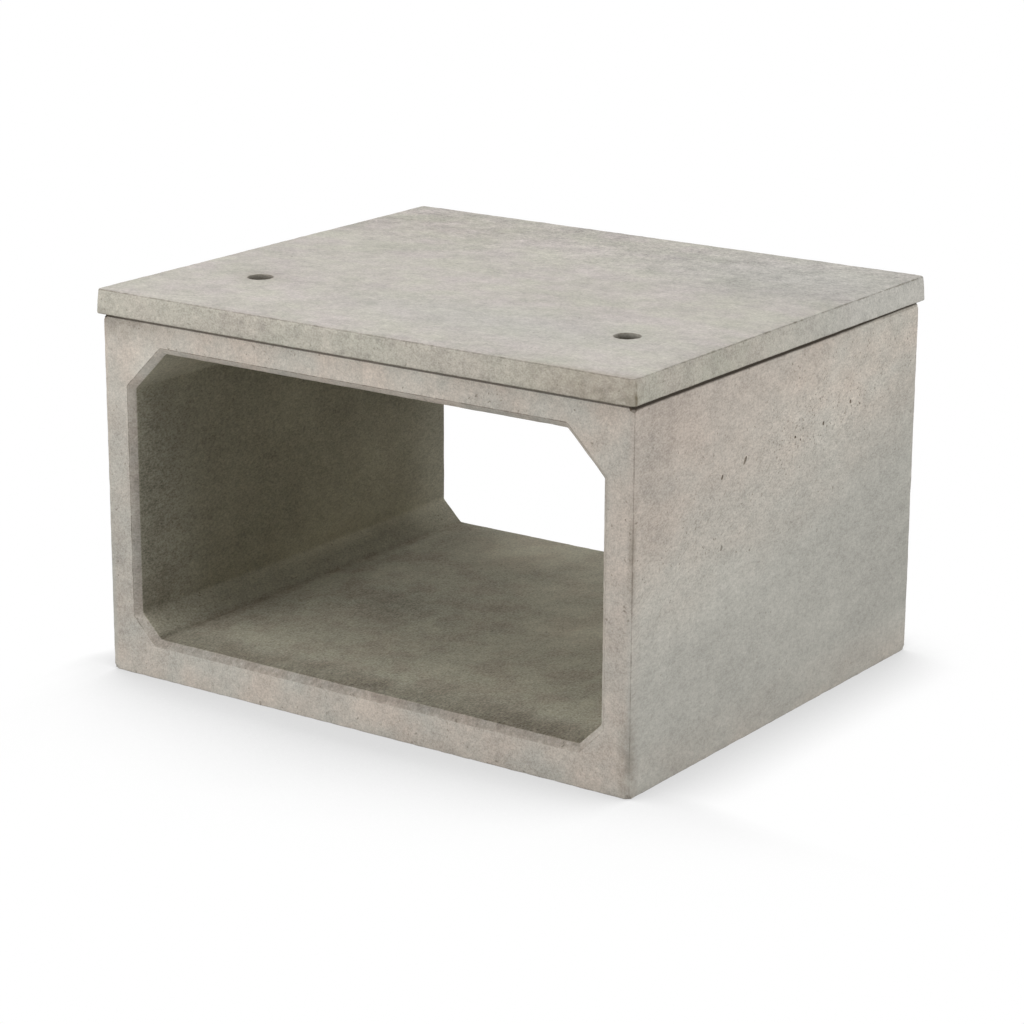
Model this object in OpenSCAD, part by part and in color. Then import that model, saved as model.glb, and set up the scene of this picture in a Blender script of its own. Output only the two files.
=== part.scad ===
// Precast concrete box culvert section with a loose cover slab.
// The bore runs along Y and is open at both ends. The origin is at the middle
// of the footprint, on the ground, with +Z up. Sizes are in millimetres.

/* [Box section] */
// Overall width across the two side walls
box_w = 1130; // [900:10:1600]
// Length along the bore, from end face to end face
box_l = 950; // [700:10:1500]
// Overall height from the foot to the top face
box_h = 670; // [500:10:1000]
// Thickness of each side wall
wall_t = 65; // [50:1:90]
// Thickness of the crown over the bore
crown_t = 60; // [50:1:90]
// Thickness of the base under the bore
base_t = 75; // [55:1:100]

/* [Haunches and mouths] */
// Leg of the splay in each top inner corner
top_haunch = 72; // [30:1:110]
// Leg of the splay in each bottom inner corner
bottom_haunch = 42; // [20:1:80]
// Leg of the bevel round each mouth
bevel = 12; // [4:1:20]

/* [Arrises of the box] */
// Cut on the four upright corners
corner_cut = 4; // [1:1:10]
// Cut along the top edge, which opens the joint under the slab
top_cut = 8; // [1:1:12]
// Cut along the foot
foot_cut = 3; // [1:1:8]

/* [Cover slab] */
// Thickness of the slab
slab_t = 46; // [35:1:80]
// How far the slab's lower edge stands out past each side wall
side_overhang = 7; // [2:1:20]
// How far the slab's lower edge stands out past each end face
end_overhang = 14; // [2:1:25]
// How much each edge of the slab leans in from bottom to top
draft = 3; // [1:1:8]
// Cut on the slab's four plan corners
slab_corner_cut = 6; // [2:1:12]
// Cut along the slab's top and bottom edges
slab_edge_cut = 2; // [1:1:5]

/* [Lifting holes] */
// Diameter of each lifting hole
hole_d = 45; // [25:1:60]
// Distance between the centres of the two holes
hole_spacing = 790; // [500:10:800]
// Distance of the holes from the slab's front edge
hole_inset = 250; // [100:5:300]

/* [Hidden] */
$fn = 96;
clear_w = box_w - 2 * wall_t;
clear_h = box_h - crown_t - base_t;
bore_z = base_t + clear_h / 2;
slab_w = box_w + 2 * side_overhang;
slab_l = box_l + 2 * end_overhang;
hole_y = hole_inset - slab_l / 2;
past = 1;                          // how far a cut runs past a face
reach = 2 * (box_w + box_l + box_h);

// The eight faces of the bore: [direction from the middle, distance to the face]
top_splay = (clear_w + clear_h - 2 * top_haunch) / sqrt(8);
bottom_splay = (clear_w + clear_h - 2 * bottom_haunch) / sqrt(8);
bore_faces = [
    [0, clear_w / 2], [45, top_splay],
    [90, clear_h / 2], [135, top_splay],
    [180, clear_w / 2], [225, bottom_splay],
    [270, clear_h / 2], [315, bottom_splay]
];

// Upright outline standing on y = 0 with cut corners and sides that lean in
function cut_outline(w, h, low_cut, high_cut, lean = 0) = [
    [-w / 2 + low_cut, 0], [w / 2 - low_cut, 0],
    [w / 2, low_cut], [w / 2 - lean, h - high_cut],
    [w / 2 - lean - high_cut, h], [-w / 2 + lean + high_cut, h],
    [-w / 2 + lean, h - high_cut], [-w / 2, low_cut]
];

// Solid with one outline seen from the front, one from the side, and cut plan corners
module block(w, l, h, low_cut, high_cut, plan_cut, lean = 0) {
    intersection() {
        translate([0, l / 2, 0]) rotate([90, 0, 0]) linear_extrude(l)
            polygon(cut_outline(w, h, low_cut, high_cut, lean));
        translate([-w / 2, 0, 0]) rotate([90, 0, 90]) linear_extrude(w)
            polygon(cut_outline(l, h, low_cut, high_cut, lean));
        translate([0, -l / 2, 0]) linear_extrude(h)
            polygon(cut_outline(w, l, plan_cut, plan_cut));
    }
}

// One face of the bore seen from its edge: straight, with a bevel at each mouth.
// The outline runs from the face well past the bore's middle, and past both ends.
function face_outline(dist) = let (
        mouth_y = box_l / 2 + past,
        mouth_x = dist + bevel + past
    ) [
    [-reach, -mouth_y], [mouth_x, -mouth_y],
    [dist, bevel - box_l / 2], [dist, box_l / 2 - bevel],
    [mouth_x, mouth_y], [-reach, mouth_y]
];

// Eight-sided bore through the box, with both mouths bevelled
module bore() {
    translate([0, 0, bore_z])
        intersection_for(face = bore_faces)
            rotate([0, -face[0], 0]) translate([0, 0, -reach / 2])
                linear_extrude(reach) polygon(face_outline(face[1]));
}

// Box cast in one piece: base, two walls and crown, with splayed inner corners
module box_section() {
    color([0.66, 0.64, 0.60]) difference() {
        block(box_w, box_l, box_h, foot_cut, top_cut, corner_cut);
        bore();
    }
}

// Loose slab that lies on the box, with two holes to lift it by
module cover_slab() {
    color([0.72, 0.71, 0.68]) translate([0, 0, box_h]) difference() {
        block(slab_w, slab_l, slab_t, slab_edge_cut, slab_edge_cut, slab_corner_cut, draft);
        for (side = [-1, 1])
            translate([side * hole_spacing / 2, hole_y, -past])
                cylinder(h = slab_t + 2 * past, d = hole_d);
    }
}

box_section();
cover_slab();
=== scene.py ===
from math import pi, radians

import bmesh
import bpy
import numpy as np
from mathutils import Matrix, Vector


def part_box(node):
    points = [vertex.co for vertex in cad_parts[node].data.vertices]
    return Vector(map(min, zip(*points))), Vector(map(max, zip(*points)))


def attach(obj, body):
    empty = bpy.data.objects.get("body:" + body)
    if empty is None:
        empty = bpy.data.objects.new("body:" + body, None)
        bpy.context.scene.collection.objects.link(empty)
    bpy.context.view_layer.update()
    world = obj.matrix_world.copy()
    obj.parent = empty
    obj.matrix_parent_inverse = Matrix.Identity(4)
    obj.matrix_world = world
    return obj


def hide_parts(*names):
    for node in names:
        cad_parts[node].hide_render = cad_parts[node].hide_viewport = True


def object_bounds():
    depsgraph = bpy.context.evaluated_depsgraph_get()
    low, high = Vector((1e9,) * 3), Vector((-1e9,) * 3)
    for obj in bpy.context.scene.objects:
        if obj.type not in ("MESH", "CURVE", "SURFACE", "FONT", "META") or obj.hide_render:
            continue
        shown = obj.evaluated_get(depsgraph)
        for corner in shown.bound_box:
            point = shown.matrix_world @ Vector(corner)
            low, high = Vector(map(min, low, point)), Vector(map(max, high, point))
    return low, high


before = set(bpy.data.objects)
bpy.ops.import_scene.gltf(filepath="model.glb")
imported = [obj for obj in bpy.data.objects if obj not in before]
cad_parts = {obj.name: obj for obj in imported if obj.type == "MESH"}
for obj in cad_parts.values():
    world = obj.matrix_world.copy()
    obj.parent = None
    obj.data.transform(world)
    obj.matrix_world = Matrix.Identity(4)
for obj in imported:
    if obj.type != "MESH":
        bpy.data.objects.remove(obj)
cad_low, cad_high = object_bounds()


# ---------------------------------------------------------------- Box section
# The box is a short length of culvert: foot, two side walls and crown cast in one piece
# from fine concrete in a steel form. The four inner corners are splayed, each mouth has
# a bevel all round, and it stands on its foot on level ground with nothing fixing it.
WALL = 0.065
CROWN = 0.060
BASE = 0.075
TOP_SPLAY = 0.072
BOTTOM_SPLAY = 0.042
MOUTH_BEVEL = 0.012

CUT_TOP_SIDE = 0.008  # along the top of each side, where it opens the joint under the slab
ARRIS_TOP_SIDE = 0.0012
ARRIS_TOP_END = 0.0025
ARRIS_UPRIGHT = 0.0035
ARRIS_FOOT = 0.003
ARRIS_MOUTH = 0.0015
ARRIS_SPLAY = 0.003
KNOCKED_TOP = 0.012  # broken off each upper corner
KNOCKED_FOOT = 0.009  # broken off each lower corner
SHARP = radians(20)  # the least turn that makes an edge an arris
BOX_WEAR = 0.0016  # how deep the arrises are worn
WEAR_LUMPS = 0.02  # the size of the wear's lumps, and how far in from an arris it goes
BOX_SLICE = 0.014  # the size of the cells that the skin is cut into
PIT_DEPTH = 0.0026
CLOSE = 1e-4  # how near a point lies to a face that it is on
SKIN = 0.002  # the same, for the paint, which takes in the rounded arris too
HOLE_APART = 0.790  # between the two lifting holes of the slab
HOLE_INSET = 0.250  # from the slab's front edge to the holes


def only(piece):
    """Select this object alone and make it the active one."""
    bpy.ops.object.select_all(action="DESELECT")
    piece.select_set(True)
    bpy.context.view_layer.objects.active = piece


def pick(kind, chosen):
    """In edit mode, select just the verts, edges or faces that chosen() accepts."""
    bpy.ops.mesh.select_mode(type=kind)
    bpy.ops.mesh.select_all(action="DESELECT")
    shape = bmesh.from_edit_mesh(bpy.context.edit_object.data)
    for part in {"VERT": shape.verts, "EDGE": shape.edges, "FACE": shape.faces}[kind]:
        if chosen(part):
            part.select_set(True)
    shape.select_flush_mode()
    bmesh.update_edit_mesh(bpy.context.edit_object.data)


def middle(edge):
    """Middle of an edge."""
    return (edge.verts[0].co + edge.verts[1].co) / 2


def add_block(name, low, high):
    """Add a plain block between two corners, with its place in its mesh."""
    bpy.ops.object.select_all(action="DESELECT")
    bpy.ops.mesh.primitive_cube_add(size=1, location=(low + high) / 2, scale=high - low)
    piece = bpy.context.object
    piece.name = name
    bpy.ops.object.transform_apply(location=True, rotation=True, scale=True)
    return piece


def round_arrises(piece, radius_at):
    """Round each sharp edge to the radius that radius_at() gives, and list both ends and
    the radius of each."""
    shape = bmesh.new()
    shape.from_mesh(piece.data)
    widest = 0.01
    weights, arrises = [], []
    for edge in shape.edges:
        radius = radius_at(edge) if edge.calc_face_angle(0) > SHARP else 0
        weights.append(radius / widest)
        if radius:
            arrises.append((np.array(edge.verts[0].co), np.array(edge.verts[1].co), radius))
    shape.free()
    piece.data.attributes.new("bevel_weight_edge", "FLOAT", "EDGE").data.foreach_set(
        "value", weights
    )
    only(piece)
    worn = piece.modifiers.new("worn arrises", "BEVEL")
    worn.limit_method = "WEIGHT"
    worn.width = widest
    worn.segments = 4
    worn.loop_slide = False
    worn.use_clamp_overlap = False  # or one tight corner would shrink every rounding
    bpy.ops.object.modifier_apply(modifier=worn.name)
    return arrises


def slice_up(piece, step):
    """Cut the skin into cells of about one step, so that wear can move its points."""
    low = Vector(np.min([v.co for v in piece.data.vertices], axis=0))
    high = Vector(np.max([v.co for v in piece.data.vertices], axis=0))
    only(piece)
    bpy.ops.object.mode_set(mode="EDIT")
    for axis in range(3):
        count = round((high[axis] - low[axis]) / step)
        across = Vector([float(i == axis) for i in range(3)])
        for cut in range(1, count):
            bpy.ops.mesh.select_all(action="SELECT")
            bpy.ops.mesh.bisect(
                plane_co=low + across * (high[axis] - low[axis]) * cut / count,
                plane_no=across,
            )
    bpy.ops.object.mode_set(mode="OBJECT")


def points(piece):
    """All points of a mesh as an array."""
    spots = np.empty(len(piece.data.vertices) * 3)
    piece.data.vertices.foreach_get("co", spots)
    return spots.reshape(-1, 3)


def paint(piece, name, amounts):
    """Keep one amount for each point, which the concrete's pattern reads by name."""
    piece.data.attributes.new(name, "FLOAT", "POINT").data.foreach_set("value", amounts)


def distance_to(arrises, spots):
    """Distance of each spot from the rounded crest of the nearest arris, up to a metre."""
    crest_in = 0.42  # of the radius, from the square corner in to the crest
    nearest = np.full(len(spots), 1.0)
    for start, end, radius in arrises:
        along = end - start
        share = np.clip((spots - start) @ along / (along @ along), 0, 1)
        away = spots - start - share[:, None] * along
        nearest = np.minimum(nearest, np.sqrt((away**2).sum(1)) - crest_in * radius)
    return np.clip(nearest, 0, 1)


def wear(piece, depth, grain, amounts, shift):
    """Wear points inward by up to depth times their amounts, in lumps of the grain's size. The
    shift moves the lumps, so that they differ from piece to piece."""
    only(piece)
    group = piece.vertex_groups.new(name="wear")
    for index, amount in enumerate(amounts):
        if amount > 0.01:
            group.add([index], float(amount), "REPLACE")
    clouds = bpy.data.textures.new(piece.name + " wear", "CLOUDS")
    clouds.noise_scale = grain
    clouds.noise_depth = 2
    guide = bpy.data.objects.new("wear guide", None)
    guide.location = shift
    bpy.context.collection.objects.link(guide)
    worn = piece.modifiers.new("wear", "DISPLACE")
    worn.texture = clouds
    worn.texture_coords = "OBJECT"
    worn.texture_coords_object = guide
    worn.vertex_group = "wear"
    worn.mid_level = 1
    worn.strength = depth
    bpy.ops.object.modifier_apply(modifier=worn.name)
    bpy.data.objects.remove(guide)
    piece.vertex_groups.clear()


low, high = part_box("box_section")
box = add_block("box_section_cast", low, high)
bore_low = Vector((low.x + WALL, low.y, low.z + BASE))
bore_high = Vector((high.x - WALL, high.y, high.z - CROWN))


def on_end(point):
    """True for a point in either end face."""
    return min(point.y - low.y, high.y - point.y) < CLOSE


bpy.ops.object.mode_set(mode="EDIT")
pick("FACE", lambda f: abs(f.normal.y) > 0.9)
bpy.ops.mesh.inset(thickness=WALL)
pick("VERT", lambda v: abs(v.co.x) < bore_high.x + CLOSE and v.co.z > high.z - WALL - CLOSE)
bpy.ops.transform.translate(value=(0, 0, WALL - CROWN))
pick("VERT", lambda v: abs(v.co.x) < bore_high.x + CLOSE and v.co.z < low.z + WALL + CLOSE)
bpy.ops.transform.translate(value=(0, 0, BASE - WALL))
pick("VERT", lambda v: abs(v.co.x) < bore_high.x + CLOSE and abs(v.co.z - bore_high.z) < CLOSE)
bpy.ops.mesh.bevel(offset=TOP_SPLAY, segments=1, affect="VERTICES")
pick("VERT", lambda v: abs(v.co.x) < bore_high.x + CLOSE and abs(v.co.z - bore_low.z) < CLOSE
     and abs(v.co.x) > bore_high.x - CLOSE)
bpy.ops.mesh.bevel(offset=BOTTOM_SPLAY, segments=1, affect="VERTICES")
pick("FACE", lambda f: len(f.verts) == 8)
bpy.ops.mesh.bridge_edge_loops()
bpy.ops.mesh.select_all(action="SELECT")
bpy.ops.mesh.normals_make_consistent(inside=False)
pick("EDGE", lambda e: e.calc_face_angle(0) > 1 and on_end(middle(e))
     and abs(middle(e).x) < bore_high.x + CLOSE
     and bore_low.z - CLOSE < middle(e).z < bore_high.z + CLOSE)
bpy.ops.mesh.bevel(offset=MOUTH_BEVEL, segments=1, affect="EDGES", loop_slide=False)
pick("VERT", lambda v: abs(v.co.x) > high.x - CLOSE and on_end(v.co) and v.co.z > high.z - CLOSE)
bpy.ops.mesh.bevel(offset=KNOCKED_TOP, segments=1, affect="VERTICES")
pick("VERT", lambda v: abs(v.co.x) > high.x - CLOSE and on_end(v.co) and v.co.z < CLOSE)
bpy.ops.mesh.bevel(offset=KNOCKED_FOOT, segments=1, affect="VERTICES")
pick("EDGE", lambda e: middle(e).z > high.z - CLOSE and abs(middle(e).x) > high.x - CLOSE)
bpy.ops.mesh.bevel(offset=CUT_TOP_SIDE, segments=1, affect="EDGES")
bpy.ops.object.mode_set(mode="OBJECT")


def box_radius(edge):
    """Worn radius of one edge of the box."""
    spot = middle(edge)
    lengthwise = abs(edge.verts[1].co.y - edge.verts[0].co.y) > 0.1
    if abs(spot.x) < bore_high.x + MOUTH_BEVEL + SKIN / 2 and 0.01 < spot.z < high.z - 0.01:
        return ARRIS_SPLAY if lengthwise else ARRIS_MOUTH
    if spot.z > high.z - CUT_TOP_SIDE - SKIN / 2 and lengthwise:
        return ARRIS_TOP_SIDE
    if spot.z > high.z - CLOSE:
        return ARRIS_TOP_END
    return ARRIS_FOOT if spot.z < CLOSE else ARRIS_UPRIGHT


box_arrises = round_arrises(box, box_radius)


def cut_out(piece, former, name):
    """Cut the shape of a former out of a piece, then take the former away."""
    only(piece)
    cut = piece.modifiers.new(name, "BOOLEAN")
    cut.operation = "DIFFERENCE"
    cut.solver = "EXACT"
    cut.object = former
    bpy.ops.object.modifier_apply(modifier=cut.name)
    bpy.data.objects.remove(former)


# Air trapped against the form left a few open pits in each side wall, some drawn out aslant.
for side in (1, -1):
    for along, up, width, length, lean in (
            # place on the wall, half the width and the length, and the lean in degrees
            (0.228, 0.532, 0.0038, 0.0038, 0), (0.262, 0.522, 0.0026, 0.0022, 0),
            (0.133, 0.512, 0.0034, 0.0040, 0), (0.146, 0.505, 0.0020, 0.0020, 0),
            (0.036, 0.508, 0.0030, 0.0026, 0), (0.054, 0.500, 0.0022, 0.0024, 0),
            (-0.131, 0.504, 0.0034, 0.0085, 35), (-0.204, 0.491, 0.0028, 0.0050, 30),
            (-0.202, 0.367, 0.0034, 0.0050, 20)):
        bpy.ops.object.select_all(action="DESELECT")
        bpy.ops.mesh.primitive_ico_sphere_add(
            subdivisions=3, radius=1, location=(side * high.x, side * along, up),
            scale=(PIT_DEPTH, width, length), rotation=(radians(-side * lean), 0, 0))
        cut_out(box, bpy.context.object, "pit")

# Most of what is painted on the box goes by where its points were before the wear moved them.
slice_up(box, BOX_SLICE)
spots = points(box)
across, along, up = spots.T
depth = high.y - abs(along)
near = distance_to(box_arrises, spots)
wear(box, BOX_WEAR, WEAR_LUMPS, np.clip(1 - near / WEAR_LUMPS, 0, 1), (0.3, 0.7, 0.1))
on_bevel = (depth > CLOSE) & (depth < MOUTH_BEVEL - CLOSE) & (
    abs(across) < bore_high.x + MOUTH_BEVEL + CLOSE) & (
    abs(up - bore_low.z / 2 - bore_high.z / 2)
    < (bore_high.z - bore_low.z) / 2 + MOUTH_BEVEL + CLOSE)
paint(box, "arris", np.where(on_bevel, 0, distance_to(box_arrises, points(box))))


def tone(code):
    """A colour written as sRGB hex, turned to linear."""
    parts = [int(code[i : i + 2], 16) / 255 for i in (0, 2, 4)]
    return [c / 12.92 if c <= 0.04045 else ((c + 0.055) / 1.055) ** 2.4 for c in parts] + [1]


def add(tree, kind, links={}, **settings):
    """Add a node. Links give its sockets a value, or a node or socket to read."""
    made = tree.nodes.new("ShaderNode" + kind)
    for name, value in settings.items():
        setattr(made, name, value)
    for name, value in links.items():
        if isinstance(value, bpy.types.Node):
            value = value.outputs[0]
        if isinstance(value, bpy.types.NodeSocket):
            tree.links.new(value, made.inputs[name])
        else:
            made.inputs[name].default_value = value
    return made


def soft_spot(spots, centre, reach):
    """One at a centre, easing to nothing at a reach given for each axis."""
    away = np.sqrt((((spots - np.array(centre)) / np.array(reach)) ** 2).sum(1))
    return np.clip(1 - away, 0, 1) ** 2 * (3 - 2 * np.clip(1 - away, 0, 1))


# Cast concrete out of a steel form is matt and even, a warm grey with cloudy patches where
# the cement paste dried darker. Sand shows as fine grain, and small air pores as dark dots.
cast = bpy.data.materials.new("cast concrete box")
cast.use_nodes = True
tree = cast.node_tree
shader = tree.nodes["Principled BSDF"]
place = add(tree, "TexCoord").outputs["Object"]
drawn = add(tree, "VectorMath", {0: place, 1: (1, 0.55, 1)}, operation="MULTIPLY")
inside = add(tree, "Attribute", attribute_name="inside").outputs["Fac"]
rough_skin = add(tree, "Attribute", attribute_name="pores").outputs["Fac"]

# Its tint drifts over about 90 mm, and is warm or cool where the skin dried unevenly.
tint = add(tree, "TexNoise", {"Vector": drawn, "Scale": 1 / 0.09, "Detail": 3.0})
share = add(tree, "MapRange", {"Value": tint, "From Min": 0.36, "From Max": 0.64})
body = add(tree, "MixRGB", {"Fac": share, "Color1": tone("B2AEA5"), "Color2": tone("B8AEA3")})
for mask, colour in (("cool", "AEACA4"), ("warm", "B4A99F"), ("inside", "A9A594")):
    share = add(tree, "Attribute", attribute_name=mask).outputs["Fac"]
    body = add(tree, "MixRGB", {"Fac": share, "Color1": body, "Color2": tone(colour)})

# Sand is 1 to 3 mm and shows most where the skin is rough. Over it lie grit at 7 mm, blotches
# at 28 mm and clouds at 160 mm.
# The level starts from the shade paint, which is partly painted light and shade.
shade = add(tree, "Attribute", attribute_name="shade").outputs["Fac"]
level = add(tree, "Math", {0: shade, 1: 0.96}, operation="ADD")
sandy = add(tree, "MapRange", {"Value": rough_skin, "To Min": 0.42, "To Max": 0.85})
sandy = add(tree, "Math", {0: inside, 1: 0.45, 2: sandy}, operation="MULTIPLY_ADD")
blotchy = add(tree, "MapRange", {"Value": rough_skin, "To Min": 0.3, "To Max": 0.5})
relief = 0.0
for size, detail, share, height in (
        (0.0028, 1.0, sandy, 0.35), (0.007, 2.0, 0.30, 0.5),
        (0.028, 3.0, blotchy, 0.4), (0.16, 3.0, 0.35, 0.0)):
    lumps = add(tree, "TexNoise", {
        "Vector": drawn, "Scale": 1 / size, "Detail": detail, "Roughness": 0.6})
    swing = add(tree, "Math", {0: lumps, 1: 0.5}, operation="SUBTRACT")
    level = add(tree, "Math", {0: swing, 1: share, 2: level}, operation="MULTIPLY_ADD")
    relief = add(tree, "Math", {0: swing, 1: height, 2: relief}, operation="MULTIPLY_ADD")

# Inside the bore, silt has dried in brown and pale patches of about 80 mm, mostly on its floor.
silt = add(tree, "TexNoise", {"Vector": place, "Scale": 1 / 0.08, "Detail": 3.0})
silted = add(tree, "Attribute", attribute_name="silted").outputs["Fac"]
swing = add(tree, "Math", {0: silt, 1: 0.5}, operation="SUBTRACT")
share = add(tree, "Math", {0: silted, 1: 0.45}, operation="MULTIPLY")
level = add(tree, "Math", {0: swing, 1: share, 2: level}, operation="MULTIPLY_ADD")
brown = add(tree, "MapRange", {
    "Value": silt, "From Min": 0.56, "From Max": 0.40, "To Max": 0.45})
brown = add(tree, "Math", {0: brown, 1: silted}, operation="MULTIPLY")
body = add(tree, "MixRGB", {"Fac": brown, "Color1": body, "Color2": tone("A59A8A")})
body = add(tree, "HueSaturation", {"Color": body, "Value": level})


def air_pores(tree, place, drawn, skin, gain, least, most):
    """Air pores 1 to 3 mm wide, ragged, that crowd together in some places. The skin's pattern
    adds to a pore's chance by its gain, and a chance from least to most makes the pore show."""
    jitter = add(tree, "TexNoise", {"Vector": place, "Scale": 160.0}).outputs["Color"]
    bent = add(tree, "MixRGB", {"Fac": 0.012, "Color1": place, "Color2": jitter})
    cells = add(tree, "TexVoronoi", {"Vector": bent, "Scale": 120.0})
    pore = add(tree, "MapRange", {
        "Value": cells.outputs["Distance"], "From Min": 0.12, "From Max": 0.34,
        "To Min": 1.0, "To Max": 0.0}, interpolation_type="SMOOTHSTEP")
    crowd = add(tree, "TexNoise", {"Vector": drawn, "Scale": 1 / 0.04, "Detail": 3.0})
    chance = add(tree, "SeparateColor", {"Color": cells.outputs["Color"]})
    chance = add(tree, "Math", {0: crowd, 1: 1.6, 2: chance}, operation="MULTIPLY_ADD")
    chance = add(tree, "Math", {0: skin, 1: gain, 2: chance}, operation="MULTIPLY_ADD")
    few = add(tree, "MapRange", {"Value": chance, "From Min": least, "From Max": most})
    return add(tree, "Math", {0: pore, 1: few}, operation="MULTIPLY")


pore = air_pores(tree, place, drawn, rough_skin, 0.35, 1.83, 2.02)
relief = add(tree, "Math", {0: pore, 1: -0.5, 2: relief}, operation="MULTIPLY_ADD")
share = add(tree, "Math", {0: pore, 1: 0.55}, operation="MULTIPLY")
body = add(tree, "MixRGB", {"Fac": share, "Color1": body, "Color2": tone("5F574B")})

# The form rubbed fine marks aslant across the rougher parts as it came off, 12 mm long and
# under 2 mm wide.
slant = add(tree, "VectorRotate", {"Vector": place, "Angle": radians(-38)}, rotation_type="X_AXIS")
slant = add(tree, "VectorMath", {0: slant, 1: (0.5, 0.12, 1)}, operation="MULTIPLY")
marks = add(tree, "TexNoise", {"Vector": slant, "Scale": 1 / 0.0022, "Detail": 2.0})
marks = add(tree, "MapRange", {"Value": marks, "From Min": 0.60, "From Max": 0.72,
                               "To Max": 0.35}, interpolation_type="SMOOTHSTEP")
share = add(tree, "Attribute", attribute_name="rubbed").outputs["Fac"]
share = add(tree, "Math", {0: share, 1: marks}, operation="MULTIPLY")
body = add(tree, "MixRGB", {"Fac": share, "Color1": body, "Color2": tone("6B6255")})

# Dirt holds on the crests of the worn arrises in a thin broken line.
crest = add(tree, "Attribute", attribute_name="arris").outputs["Fac"]
crest = add(tree, "MapRange", {"Value": crest, "From Min": 0.0002, "From Max": 0.0017,
                               "To Min": 1.0, "To Max": 0.0}, interpolation_type="SMOOTHSTEP")
patchy = add(tree, "TexNoise", {"Vector": place, "Scale": 1 / 0.011, "Detail": 3.0})
broken = add(tree, "MapRange", {"Value": patchy, "From Min": 0.3, "From Max": 0.65,
                                "To Min": 0.3, "To Max": 1.0})
share = add(tree, "Math", {0: crest, 1: broken}, operation="MULTIPLY")
grime = add(tree, "Attribute", attribute_name="grime").outputs["Fac"]
share = add(tree, "Math", {0: share, 1: grime}, operation="MULTIPLY")
body = add(tree, "MixRGB", {"Fac": share, "Color1": body, "Color2": tone("564C40")})

# Stains, and the dark lines of dirt with painted shade along the foot and in the pits, are
# mottled.
mottle = add(tree, "TexNoise", {"Vector": place, "Scale": 1 / 0.02, "Detail": 4.0})
mottle = add(tree, "MapRange", {"Value": mottle, "From Min": 0.35, "From Max": 0.6,
                                "To Min": 0.35, "To Max": 1.0})
share = add(tree, "Attribute", attribute_name="dirt_and_shade").outputs["Fac"]
share = add(tree, "Math", {0: share, 1: mottle}, operation="MULTIPLY")
body = add(tree, "MixRGB", {"Fac": share, "Color1": body, "Color2": tone("5F5444")})

# The joint under the slab is painted near black: painted shade in the gap, with dirt in it. Along
# the sides it fills the cut arris, less of it toward the rear. At the ends it shows as a thin
# line, blackest at its left end, and lies on the crown only as far in as it was washed.
spot = add(tree, "SeparateXYZ", {"Vector": place})
outer = add(tree, "Math", {0: spot.outputs["X"]}, operation="ABSOLUTE")
outer = add(tree, "MapRange", {
    "Value": outer, "From Min": high.x - CUT_TOP_SIDE - SKIN, "From Max": high.x - CUT_TOP_SIDE})
fill = add(tree, "MapRange", {
    "Value": spot.outputs["Y"], "From Min": 0.12, "From Max": 0.42, "To Max": -0.002})
fill = add(tree, "Math", {0: spot.outputs["Z"], 1: fill}, operation="ADD")
joint_shade_side = add(tree, "MapRange", {
    "Value": fill, "From Min": high.z - CUT_TOP_SIDE - 0.0008,
    "From Max": high.z - CUT_TOP_SIDE + 0.0012, "To Max": 0.98})
joint_shade_side = add(tree, "Math", {0: joint_shade_side, 1: outer}, operation="MULTIPLY")
joint_shade_end = add(tree, "MapRange", {
    "Value": spot.outputs["Z"], "From Min": high.z - 0.0068, "From Max": high.z - 0.0058,
    "To Max": 0.75})
deeper = add(tree, "MapRange", {
    "Value": spot.outputs["X"], "From Min": low.x, "From Max": low.x + WALL,
    "To Min": 1.3, "To Max": 1.0})
joint_shade_end = add(tree, "Math", {0: joint_shade_end, 1: deeper}, operation="MULTIPLY")
near_end = add(tree, "Math", {0: spot.outputs["Y"]}, operation="ABSOLUTE")
near_end = add(tree, "MapRange", {
    "Value": near_end, "From Min": high.y - 0.030, "From Max": high.y - 0.008})
joint_shade_end = add(tree, "Math", {0: joint_shade_end, 1: near_end}, operation="MULTIPLY")
share = add(tree, "Math", {0: joint_shade_side, 1: joint_shade_end}, operation="MAXIMUM")
body = add(tree, "MixRGB", {"Fac": share, "Color1": body, "Color2": tone("352E26")})

tree.links.new(body.outputs[0], shader.inputs["Base Color"])
shader.inputs["Roughness"].default_value = 0.92
shader.inputs["Specular IOR Level"].default_value = 0.3
rough = add(tree, "Bump", {"Height": relief, "Strength": 0.5, "Distance": 0.0012})
tree.links.new(rough.outputs["Normal"], shader.inputs["Normal"])

# In the bore the skin is greener, and silt lies on it, most on the floor.
on_floor = up < bore_low.z + SKIN
in_bore = (abs(across) < bore_high.x + SKIN) & (depth > MOUTH_BEVEL - CLOSE) & (
    up > bore_low.z - SKIN) & (up < bore_high.z + SKIN)
paint(box, "inside", in_bore.astype(float))
paint(box, "silted", in_bore * np.where(on_floor, 1.0, 0.3))

# Grime is thickest on the arrises round the mouths, save along the sill and the right jamb.
# The right front upright has nearly as much, and the other arrises about half. The bevels
# have an even film of it, thinnest under the crown, and a line 1 mm wide at the end face.
round_mouth = 0.03
at_mouth = (abs(across) < bore_high.x + round_mouth) & (up > bore_low.z - round_mouth) & (
    up < bore_high.z + round_mouth)
cleaner = (up < bore_low.z + 0.02) | (across > bore_high.x - 0.02)
upright = (across > high.x - 0.02) & (along < low.y + 0.02) & (up > 0.01)
grime = np.where(at_mouth & ~cleaner, 1.0, np.where(upright, np.clip(0.6 + up, 0, 1), 0.45))
film = np.where(up > bore_high.z - SKIN, 0.10, np.where(on_floor, 0.45, 0.20))
film = np.maximum(film, grime * np.clip(1 - depth / 0.001, 0, 1))
paint(box, "grime", np.where(on_bevel, film, grime * ~in_bore))

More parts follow.
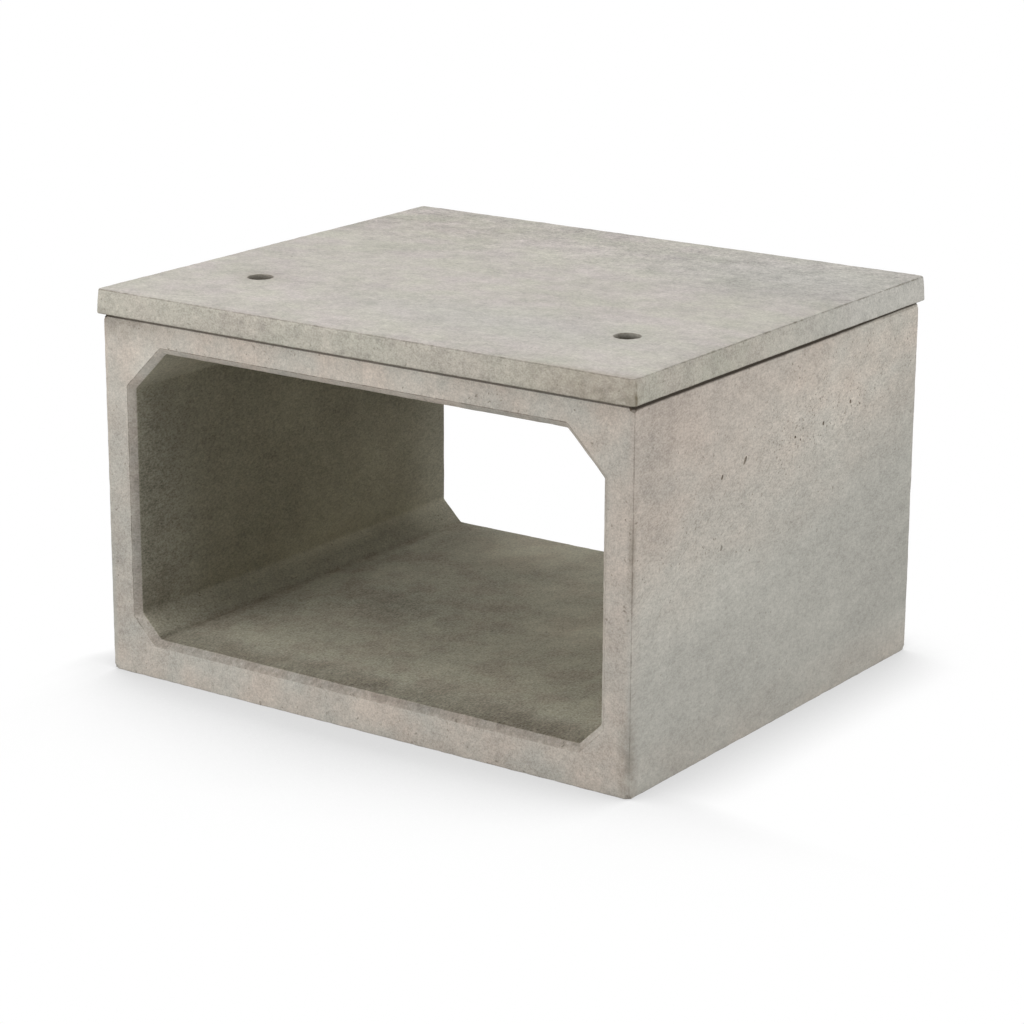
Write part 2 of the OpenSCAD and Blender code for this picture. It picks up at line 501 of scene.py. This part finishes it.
# The sides are warm high up at the front and cool low down. The front mouth's right jamb is
# warm and its left one cool, and the bore is warm low on the left just inside that mouth.
on_side = abs(across) > high.x - 0.012
warm_side = 0.7 * on_side * np.clip((up - 0.33) / 0.3, 0, 1) * np.clip((0.3 - along) / 0.5, 0, 1)
warm_jamb = 0.4 * soft_spot(spots, (bore_high.x + 0.04, low.y, 0.35), (0.06, 0.04, 0.5))
warm_bore = 0.6 * in_bore * (
    soft_spot(spots, (-bore_high.x, low.y + 0.05, 0.14), (0.06, 0.12, 0.12))
    + soft_spot(spots, (-0.32, low.y + 0.05, bore_low.z), (0.26, 0.12, 0.05)))
paint(box, "warm", np.maximum.reduce([warm_side, warm_jamb, warm_bore]))
cool_side = on_side * np.clip((0.55 + 0.2 * along - up) / 0.26, 0, 1) * (
    np.clip(0.4 + up / 0.15, 0, 1))
cool_jamb = 0.5 * soft_spot(spots, (-bore_high.x - 0.04, low.y, 0.35), (0.06, 0.04, 0.5))
paint(box, "cool", np.maximum(cool_side, cool_jamb))

# Pores and rub marks crowd in a band that rises along each side toward the rear.
band = np.clip(1 - abs((up - 0.46) - 0.35 * along) / 0.16, 0, 1)
upper = np.clip((up - 0.15) / 0.35, 0, 1)
pitted = 1.2 * soft_spot(spots, (high.x, 0.12, 0.53), (0.02, 0.24, 0.07))
paint(box, "pores", np.where(
    on_side, np.clip(0.55 * upper + 0.45 * band * upper, 0, 1) + pitted, 0.6))
paint(box, "rubbed", on_side * np.clip(upper * 0.4 + band * 0.9, 0, 1))

# The band is paler. Each end face is darker just under its top, a painted shadow under the slab's
# overhang, and the floor behind the front sill is painted shade. The bevel of each sill is darker,
# and the lower splays are painted light, paler toward the rear.
box_shades = (
    # place, reach along each axis, how much paler or darker: the right side
    ((high.x, -0.20, 0.28), (0.1, 0.24, 0.16), 0.06),
    ((high.x, 0.1, 0.56), (0.1, 0.38, 0.16), 0.09),
    ((high.x, -0.42, 0.60), (0.1, 0.16, 0.20), -0.13),
    ((high.x, 0.3, 0.18), (0.1, 0.4, 0.2), -0.06),
    ((high.x, -0.05, 0.05), (0.1, 0.2, 0.08), -0.08),
    ((high.x, 0.45, 0.05), (0.1, 0.08, 0.08), 0.10),
    # the front end face: a band along its top is painted light, paler against the shade under the
    # slab
    ((0.0, low.y, 0.65), (0.9, 0.04, 0.08), 0.11),
    ((-0.54, low.y, 0.56), (0.2, 0.04, 0.20), 0.08),
    ((0.08, low.y, 0.64), (0.14, 0.04, 0.06), 0.06),
    ((0.30, low.y, 0.64), (0.10, 0.04, 0.06), -0.06),
    ((-0.2, low.y, 0.0), (0.6, 0.04, 0.12), 0.06),
    ((0.3, low.y, 0.0), (0.4, 0.04, 0.12), -0.05),
    ((0.0, -0.469, 0.07), (0.8, 0.012, 0.02), -0.06),
    ((-0.54, low.y, 0.22), (0.05, 0.05, 0.2), -0.12),
    ((0.54, low.y, 0.55), (0.05, 0.05, 0.25), 0.09),
    # the left wall inside: painted light and shade, darker by the front mouth and paler deeper in
    # and low down
    ((-bore_high.x, -0.43, 0.30), (0.02, 0.13, 0.4), -0.22),
    ((-bore_high.x, -0.24, 0.30), (0.02, 0.14, 0.3), 0.14),
    ((-bore_high.x, -0.04, 0.43), (0.02, 0.18, 0.12), 0.12),
    ((-bore_high.x, 0.26, 0.28), (0.02, 0.16, 0.14), 0.12),
    ((-bore_high.x, 0.05, 0.25), (0.02, 0.35, 0.4), 0.19),
    ((-bore_high.x, 0.28, 0.2), (0.02, 0.36, 0.24), 0.34),
    ((-bore_high.x, 0.05, 0.13), (0.02, 0.5, 0.09), 0.30),
    ((-bore_high.x, 0.35, 0.13), (0.02, 0.2, 0.06), 0.12),
    ((-0.46, -0.36, 0.58), (0.1, 0.22, 0.1), 0.34),
    # the floor inside: painted light and shade, darker toward the front and paler toward the rear
    ((0.1, 0.42, bore_low.z), (0.7, 0.22, 0.02), 0.33),
    ((-0.24, 0.38, bore_low.z), (0.18, 0.2, 0.02), 0.44),
    ((-0.03, 0.20, bore_low.z), (0.12, 0.12, 0.02), 0.16),
    ((0.14, 0.05, bore_low.z), (0.16, 0.2, 0.02), 0.32),
    ((-0.24, -0.04, bore_low.z), (0.2, 0.16, 0.02), -0.24),
    ((-0.42, -0.05, bore_low.z), (0.06, 0.5, 0.02), -0.12),
    ((-0.36, -0.18, bore_low.z), (0.12, 0.16, 0.02), -0.12),
    ((0.3, -0.25, bore_low.z), (0.1, 0.1, 0.02), -0.10),
    ((0.25, -0.42, bore_low.z), (0.6, 0.10, 0.02), -0.12),
)
shade = 0.05 * band * on_side
for centre, reach, amount in box_shades:
    shade += amount * soft_spot(spots, centre, reach)
# Painted shadow under the slab's overhang, along the top of each end face.
shade -= 0.10 * (depth < 0.003) * np.clip((up - high.z + 0.016) / 0.01, 0, 1)
# Painted shade on the floor just behind the front sill.
behind_sill = in_bore * (up < bore_low.z + 2 * SKIN) * (
    np.clip((low.y + 0.10 - along) / 0.085, 0, 1))
shade -= 0.30 * behind_sill
shade -= 0.05 * (on_bevel & on_floor)
# Painted light on the lower splays, paler toward the rear.
over_splay = BOTTOM_SPLAY - (bore_high.x - abs(across)) - (up - bore_low.z)
on_splay = in_bore & (over_splay > -2 * SKIN) & (up < 0.3)
shade += on_splay * (0.02 + 0.16 * np.clip(along / 0.4, 0, 1))
paint(box, "shade", shade)

# Dirt with painted shade darkens a line along the foot, a line where the floor meets the lower
# splays, and the pits. Dirt lies behind the sill and in stains: two inside on the left wall, one
# under the slab's left front end, one at the foot of the right front upright with moss above it,
# and one under each hole.
foot = 0.55 * np.clip((ARRIS_FOOT - up) / ARRIS_FOOT, 0, 1)
toe = np.hypot(bore_high.x - BOTTOM_SPLAY - abs(across), up - bore_low.z)
toe = 0.4 * in_bore * np.clip(1 - toe / 0.014, 0, 1)
off_edge = (up > 0.05) & (up < high.z - 0.05) & (depth > 0.05)
pits = 0.9 * (on_side & off_edge & (abs(across) < high.x - 0.0006))
wall_stain = 0.4 * in_bore * np.maximum(
    soft_spot(spots, (-bore_high.x, low.y + 0.05, 0.13), (0.05, 0.08, 0.09)),
    soft_spot(spots, (-bore_high.x, 0.25, 0.10), (0.05, 0.14, 0.04)))
dirt_and_shade = [foot, toe, 0.4 * behind_sill, pits, wall_stain]
for centre, reach, amount in (
        ((low.x + 0.05, low.y, high.z - 0.01), (0.16, 0.1, 0.045), 0.4),
        ((high.x, low.y, 0.05), (0.035, 0.03, 0.14), 0.45),
        ((high.x, low.y, 0.42), (0.012, 0.012, 0.14), 0.5),
        ((-HOLE_APART / 2, cad_low.y + HOLE_INSET, high.z), (0.05, 0.05, 0.01), 0.95),
        ((HOLE_APART / 2, cad_low.y + HOLE_INSET, high.z), (0.05, 0.05, 0.01), 0.95)):
    dirt_and_shade.append(amount * soft_spot(spots, centre, reach))
paint(box, "dirt_and_shade", np.maximum.reduce(dirt_and_shade))
box.data.materials.append(cast)
only(box)
bpy.ops.object.shade_smooth_by_angle(angle=radians(35))
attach(box, "box")
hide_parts("box_section")


# ---------------------------------------------------------------- Cover slab
# The cover slab is a flat lid cast face down from the same concrete. It lies loose on the
# crown, stands out a little past the box all round, and has two holes to lift it by.
SLAB_DRAFT = 0.003
HOLE_WIDTH = 0.045
ARRIS_PLAN_CORNER = 0.010
ARRIS_SLAB_TOP = 0.004
ARRIS_SLAB_UNDER = 0.003
ARRIS_HOLE = 0.002
SLAB_WEAR = 0.0014
SLAB_SLICE = 0.012

low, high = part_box("cover_slab")
slab = add_block("cover_slab_cast", low, high)
bpy.ops.object.mode_set(mode="EDIT")
pick("FACE", lambda f: f.normal.z > 0.9)
bpy.ops.transform.resize(value=(
    1 - SLAB_DRAFT / high.x, 1 - SLAB_DRAFT / high.y, 1))
pick("EDGE", lambda e: abs(e.verts[0].co.z - e.verts[1].co.z) > 0.01)
bpy.ops.mesh.bevel(offset=ARRIS_PLAN_CORNER, segments=5, affect="EDGES")
bpy.ops.object.mode_set(mode="OBJECT")
hole_y = low.y + HOLE_INSET
for side in (-1, 1):
    bpy.ops.object.select_all(action="DESELECT")
    bpy.ops.mesh.primitive_cylinder_add(
        vertices=64, radius=HOLE_WIDTH / 2, depth=0.1,
        location=(side * HOLE_APART / 2, hole_y, (low.z + high.z) / 2))
    cut_out(slab, bpy.context.object, "lifting hole")


def slab_radius(edge):
    """Worn radius of one edge of the slab."""
    spot = middle(edge)
    if abs(spot.x) < high.x - 0.05 and abs(spot.y) < high.y - 0.05:
        return ARRIS_HOLE
    return ARRIS_SLAB_TOP if spot.z > (low.z + high.z) / 2 else ARRIS_SLAB_UNDER


slab_arrises = round_arrises(slab, slab_radius)
slice_up(slab, SLAB_SLICE)
near = distance_to(slab_arrises, points(slab))
wear(slab, SLAB_WEAR, WEAR_LUMPS, np.clip(1 - near / WEAR_LUMPS, 0, 1), (0.8, 0.2, 0.5))
paint(slab, "arris", distance_to(slab_arrises, points(slab)))

# The slab is the same cast concrete, a little paler and greyer. Its top lay against the form,
# so that its grain is finer there. Its edges are greener and show the sand.
laid = bpy.data.materials.new("cast concrete slab")
laid.use_nodes = True
tree = laid.node_tree
shader = tree.nodes["Principled BSDF"]
place = add(tree, "TexCoord").outputs["Object"]
drawn = add(tree, "VectorMath", {0: place, 1: (0.8, 1, 1)}, operation="MULTIPLY")
top_face = add(tree, "Attribute", attribute_name="top").outputs["Fac"]

# The tint drifts over about 90 mm on the edges and on top.
tint = add(tree, "TexNoise", {"Vector": drawn, "Scale": 1 / 0.09, "Detail": 4.0})
share = add(tree, "MapRange", {"Value": tint, "From Min": 0.37, "From Max": 0.63})
edges = add(tree, "MixRGB", {"Fac": share, "Color1": tone("ACA99D"), "Color2": tone("B0AA9F")})
paler = add(tree, "MixRGB", {"Fac": share, "Color1": tone("BBB8AD"), "Color2": tone("BEB7B2")})
body = add(tree, "MixRGB", {"Fac": top_face, "Color1": edges, "Color2": paler})
for mask, colour in (("cool", "B3B1AB"), ("warm", "B3A697")):
    share = add(tree, "Attribute", attribute_name=mask).outputs["Fac"]
    body = add(tree, "MixRGB", {"Fac": share, "Color1": body, "Color2": tone(colour)})

# Sand at 1 to 3 mm, grit at 7 mm, blotches at 28 mm and clouds at 160 mm, with a share for
# the edges and one for the top.
shade = add(tree, "Attribute", attribute_name="shade").outputs["Fac"]
level = add(tree, "Math", {0: shade, 1: 0.97}, operation="ADD")
coarse = add(tree, "Attribute", attribute_name="coarse").outputs["Fac"]
relief = 0.0
for size, detail, at_edges, on_top, height in (
        (0.0028, 1.0, 0.7, 0.5, 0.35), (0.007, 2.0, 0.4, 0.36, 0.5),
        (0.028, 3.0, 0.5, 0.45, 0.4), (0.16, 3.0, 0.25, 0.3, 0.0)):
    lumps = add(tree, "TexNoise", {
        "Vector": drawn, "Scale": 1 / size, "Detail": detail, "Roughness": 0.6})
    swing = add(tree, "Math", {0: lumps, 1: 0.5}, operation="SUBTRACT")
    share = add(tree, "MapRange", {"Value": top_face, "To Min": at_edges, "To Max": on_top})
    share = add(tree, "Math", {0: coarse, 1: 0.35 * on_top, 2: share}, operation="MULTIPLY_ADD")
    level = add(tree, "Math", {0: swing, 1: share, 2: level}, operation="MULTIPLY_ADD")
    relief = add(tree, "Math", {0: swing, 1: height, 2: relief}, operation="MULTIPLY_ADD")
body = add(tree, "HueSaturation", {"Color": body, "Value": level})

# It has the same air pores, fewer on top.
pore = air_pores(tree, place, drawn, top_face, -0.15, 1.65, 1.83)
relief = add(tree, "Math", {0: pore, 1: -0.5, 2: relief}, operation="MULTIPLY_ADD")
share = add(tree, "Math", {0: pore, 1: 0.5}, operation="MULTIPLY")
body = add(tree, "MixRGB", {"Fac": share, "Color1": body, "Color2": tone("5F594E")})

# Dirt holds on the crests of the worn arrises in a thin broken line.
crest = add(tree, "Attribute", attribute_name="arris").outputs["Fac"]
crest = add(tree, "MapRange", {"Value": crest, "From Min": 0.0002, "From Max": 0.0020,
                               "To Min": 1.0, "To Max": 0.0}, interpolation_type="SMOOTHSTEP")
patchy = add(tree, "TexNoise", {"Vector": place, "Scale": 1 / 0.011, "Detail": 3.0})
broken = add(tree, "MapRange", {"Value": patchy, "From Min": 0.3, "From Max": 0.68,
                                "To Min": 0.25, "To Max": 0.9})
share = add(tree, "Math", {0: crest, 1: broken}, operation="MULTIPLY")
body = add(tree, "MixRGB", {"Fac": share, "Color1": body, "Color2": tone("5E5749")})

# Stains are mottled, soil with painted shade darkens the holes, and the fresh break at one corner
# shows pale in patches.
mottle = add(tree, "TexNoise", {"Vector": place, "Scale": 1 / 0.02, "Detail": 4.0})
mottle = add(tree, "MapRange", {"Value": mottle, "From Min": 0.35, "From Max": 0.6,
                                "To Min": 0.25, "To Max": 1.0})
share = add(tree, "Attribute", attribute_name="dirt_and_shade").outputs["Fac"]
share = add(tree, "Math", {0: share, 1: mottle}, operation="MULTIPLY")
body = add(tree, "MixRGB", {"Fac": share, "Color1": body, "Color2": tone("6F6654")})
share = add(tree, "Attribute", attribute_name="soil_and_shade").outputs["Fac"]
body = add(tree, "MixRGB", {"Fac": share, "Color1": body, "Color2": tone("3B3328")})
share = add(tree, "Attribute", attribute_name="chipped").outputs["Fac"]
share = add(tree, "Math", {0: share, 1: broken}, operation="MULTIPLY")
body = add(tree, "MixRGB", {"Fac": share, "Color1": body, "Color2": tone("D8D2C6")})

tree.links.new(body.outputs[0], shader.inputs["Base Color"])
shader.inputs["Roughness"].default_value = 0.9
shader.inputs["Specular IOR Level"].default_value = 0.3
rough = add(tree, "Bump", {"Height": relief, "Strength": 0.4, "Distance": 0.001})
tree.links.new(rough.outputs["Normal"], shader.inputs["Normal"])

spots = points(slab)
across, along, up = spots.T
paint(slab, "top", np.clip((up - high.z + 0.003) / 0.003, 0, 1))

# Soil and painted shade line each hole from 0.5 mm below the top down.
in_hole = np.zeros(len(spots))
for side in (-1, 1):
    away = np.hypot(across - side * HOLE_APART / 2, along - hole_y)
    in_hole = np.maximum(in_hole, np.clip((HOLE_WIDTH / 2 + SKIN - away) / SKIN, 0, 1))
paint(slab, "soil_and_shade", 0.92 * in_hole * np.clip((high.z - 0.0005 - up) / 0.0025, 0, 1))

# Dirt with painted shade darkens the lower edge, at the joint. Dirt lies round the left hole, on
# top at the rear left, along the right of the front edge, and beside the break at the right front
# corner.
dirt_and_shade = [0.25 * np.clip((low.z + 0.004 - up) / 0.004, 0, 1)]
for centre, reach, amount in (
        ((-HOLE_APART / 2, hole_y, high.z), (0.09, 0.07, 0.02), 0.25),
        ((-0.40, 0.33, high.z), (0.34, 0.22, 0.05), 0.22),
        ((0.56, low.y, 0.69), (0.30, 0.05, 0.10), 0.4),
        ((high.x - 0.001, low.y + 0.008, 0.694), (0.005, 0.005, 0.04), 3.0)):
    dirt_and_shade.append(amount * soft_spot(spots, centre, reach))
paint(slab, "dirt_and_shade", np.clip(np.maximum.reduce(dirt_and_shade), 0, 1))
broken_off = (high.x - 0.0065, low.y + 0.001, 0.704)
paint(slab, "chipped", np.clip(1.8 * soft_spot(spots, broken_off, (0.0040, 0.0040, 0.018)), 0, 1))

# The top is cool at the rear right and in the middle, and so is the right edge. The front
# edge is warm at its right end. The rear of the top is coarser.
cool_top = (0.8 * soft_spot(spots, (0.42, 0.33, high.z), (0.5, 0.3, 0.1))
            + 0.6 * soft_spot(spots, (0.15, -0.28, high.z), (0.5, 0.18, 0.1)))
cool_edge = 0.8 * (across > high.x - 0.006) * np.clip(along / 0.4 + 0.4, 0, 1)
paint(slab, "cool", np.maximum(cool_top, cool_edge))
paint(slab, "warm", 0.3 * soft_spot(spots, (0.5, low.y, 0.69), (0.3, 0.03, 0.08)))
paint(slab, "coarse", np.clip((along - 0.1) / 0.3, 0, 1) * 2 * (up > high.z - 0.003))
slab_shades = (
    # place, reach along each axis, how much paler or darker
    ((0.35, 0.32, high.z), (0.5, 0.3, 0.05), -0.05),
    ((0.0, -0.47, high.z), (0.7, 0.06, 0.04), -0.03),
    ((high.x, -0.3, 0.69), (0.04, 0.3, 0.05), -0.05),
    ((high.x, 0.4, 0.69), (0.04, 0.4, 0.05), 0.10),
    ((-0.3, -0.30, high.z), (0.2, 0.1, 0.04), 0.06),
    ((0.5, -0.32, high.z), (0.1, 0.12, 0.04), 0.05),
    ((-0.2, low.y, 0.69), (0.12, 0.03, 0.04), -0.08),
)
shade = np.zeros(len(spots))
for centre, reach, amount in slab_shades:
    shade += amount * soft_spot(spots, centre, reach)
paint(slab, "shade", shade)
slab.data.materials.append(laid)
only(slab)
bpy.ops.object.shade_smooth_by_angle(angle=radians(35))
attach(slab, "slab")
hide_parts("cover_slab")


# ---------------------------------------------------------------- Floor, light and camera
# The box stands on a sheet of white paper so wide that no edge of it shows. Five square
# soft lights light it, and it is seen from the right front, a little from above.
bpy.ops.object.select_all(action="DESELECT")
bpy.ops.mesh.primitive_plane_add(size=60)
floor = bpy.context.object
floor.name = "floor"
paper = bpy.data.materials.new("white paper")
paper.use_nodes = True
tree = paper.node_tree
tree.nodes.clear()


def in_sight(tree):
    """One for a ray from the camera, a mirror or glass, and nought for one that only lights."""
    ray = add(tree, "LightPath")
    seen = add(tree, "Math", {0: ray.outputs["Is Camera Ray"], 1: ray.outputs["Is Glossy Ray"]},
               operation="MAXIMUM")
    return add(tree, "Math", {0: seen, 1: ray.outputs["Is Transmission Ray"]},
               operation="MAXIMUM")


# In sight, the paper glows white and darkens only near the box, a painted shadow set by how much
# the box hides around each spot: softly and far in front of it, less beside and behind it, and
# hardly at all on its left.
spot = add(tree, "SeparateXYZ", {"Vector": add(tree, "TexCoord").outputs["Object"]})
reach = add(tree, "MapRange", {"Value": spot.outputs["Y"], "From Min": -0.50, "From Max": -0.40,
                               "To Min": 0.85, "To Max": 0.22}, interpolation_type="SMOOTHSTEP")
reach = add(tree, "MapRange", {"Value": spot.outputs["X"], "From Min": -0.7, "From Max": -0.56,
                               "To Min": 0.08, "To Max": reach}, interpolation_type="SMOOTHSTEP")
near = add(tree, "AmbientOcclusion", {"Distance": reach}).outputs["AO"]
glow = add(tree, "MapRange", {"Value": near, "From Min": 0.5, "From Max": 0.88,
                              "To Min": 0.7, "To Max": 1.0})
share = add(tree, "MapRange", {"Value": near, "From Min": 0.5, "From Max": 0.95,
                               "To Min": 0.06, "To Max": 0.0})
shaded = add(tree, "BsdfDiffuse", {"Color": tone("E6E6E6")})
white = add(tree, "Emission", {"Color": (1, 1, 1, 1), "Strength": glow})
pale = add(tree, "MixShader", {0: share, 1: white, 2: shaded})
dull = add(tree, "BsdfDiffuse", {"Color": tone("B0B0B0")})
mix = add(tree, "MixShader", {0: in_sight(tree), 1: dull, 2: pale})
add(tree, "OutputMaterial", {"Surface": mix})
floor.data.materials.append(paper)

world = bpy.data.worlds.new("studio")
bpy.context.scene.world = world
world.use_nodes = True
tree = world.node_tree
tree.nodes.clear()
dome = add(tree, "Background", {"Color": (1, 1, 1, 1), "Strength": 0.07})
back = add(tree, "Background", {"Color": (1, 1, 1, 1), "Strength": 1.0})
mix = add(tree, "MixShader", {0: in_sight(tree), 1: dome, 2: back})
add(tree, "OutputWorld", {"Surface": mix})


def softbox(name, spot, aim, size, power):
    """A square soft light at a spot, turned to a point."""
    lamp = bpy.data.lights.new(name, "AREA")
    lamp.shape = "SQUARE"
    lamp.size = size
    lamp.energy = power
    made = bpy.data.objects.new(name, lamp)
    made.location = spot
    made.rotation_euler = (Vector(aim) - Vector(spot)).to_track_quat("-Z", "Y").to_euler()
    bpy.context.collection.objects.link(made)


softbox("softbox front", (-1.8, -5.4, 1.7), (0, -0.4, 0.35), 3.0, 213)
softbox("softbox above", (-0.7, -1.1, 4.0), (0, 0, 0.5), 3.0, 93)
softbox("softbox right", (4.6, -0.1, 1.7), (0, 0, 0.4), 2.4, 146)
softbox("softbox back", (-0.6, 4.2, 2.6), (0, 0.2, 0.3), 2.4, 58)
softbox("softbox left", (-4.6, 1.6, 1.2), (-0.4, 0.1, 0.35), 2.4, 60)

eye = bpy.data.cameras.new("camera")
eye.lens = 110.30
eye.sensor_width = 36
camera = bpy.data.objects.new("camera", eye)
camera.location = (3.16763, -4.52370, 1.90776)
turn, dip, roll = radians(35.05), radians(16.38), radians(0.28)
camera.rotation_euler = (
    Matrix.Rotation(turn, 3, "Z")
    @ Matrix.Rotation(pi / 2 - dip, 3, "X")
    @ Matrix.Rotation(roll, 3, "Z")
).to_euler()
bpy.context.collection.objects.link(camera)
bpy.context.scene.camera = camera
bpy.context.scene.view_settings.view_transform = "Standard"
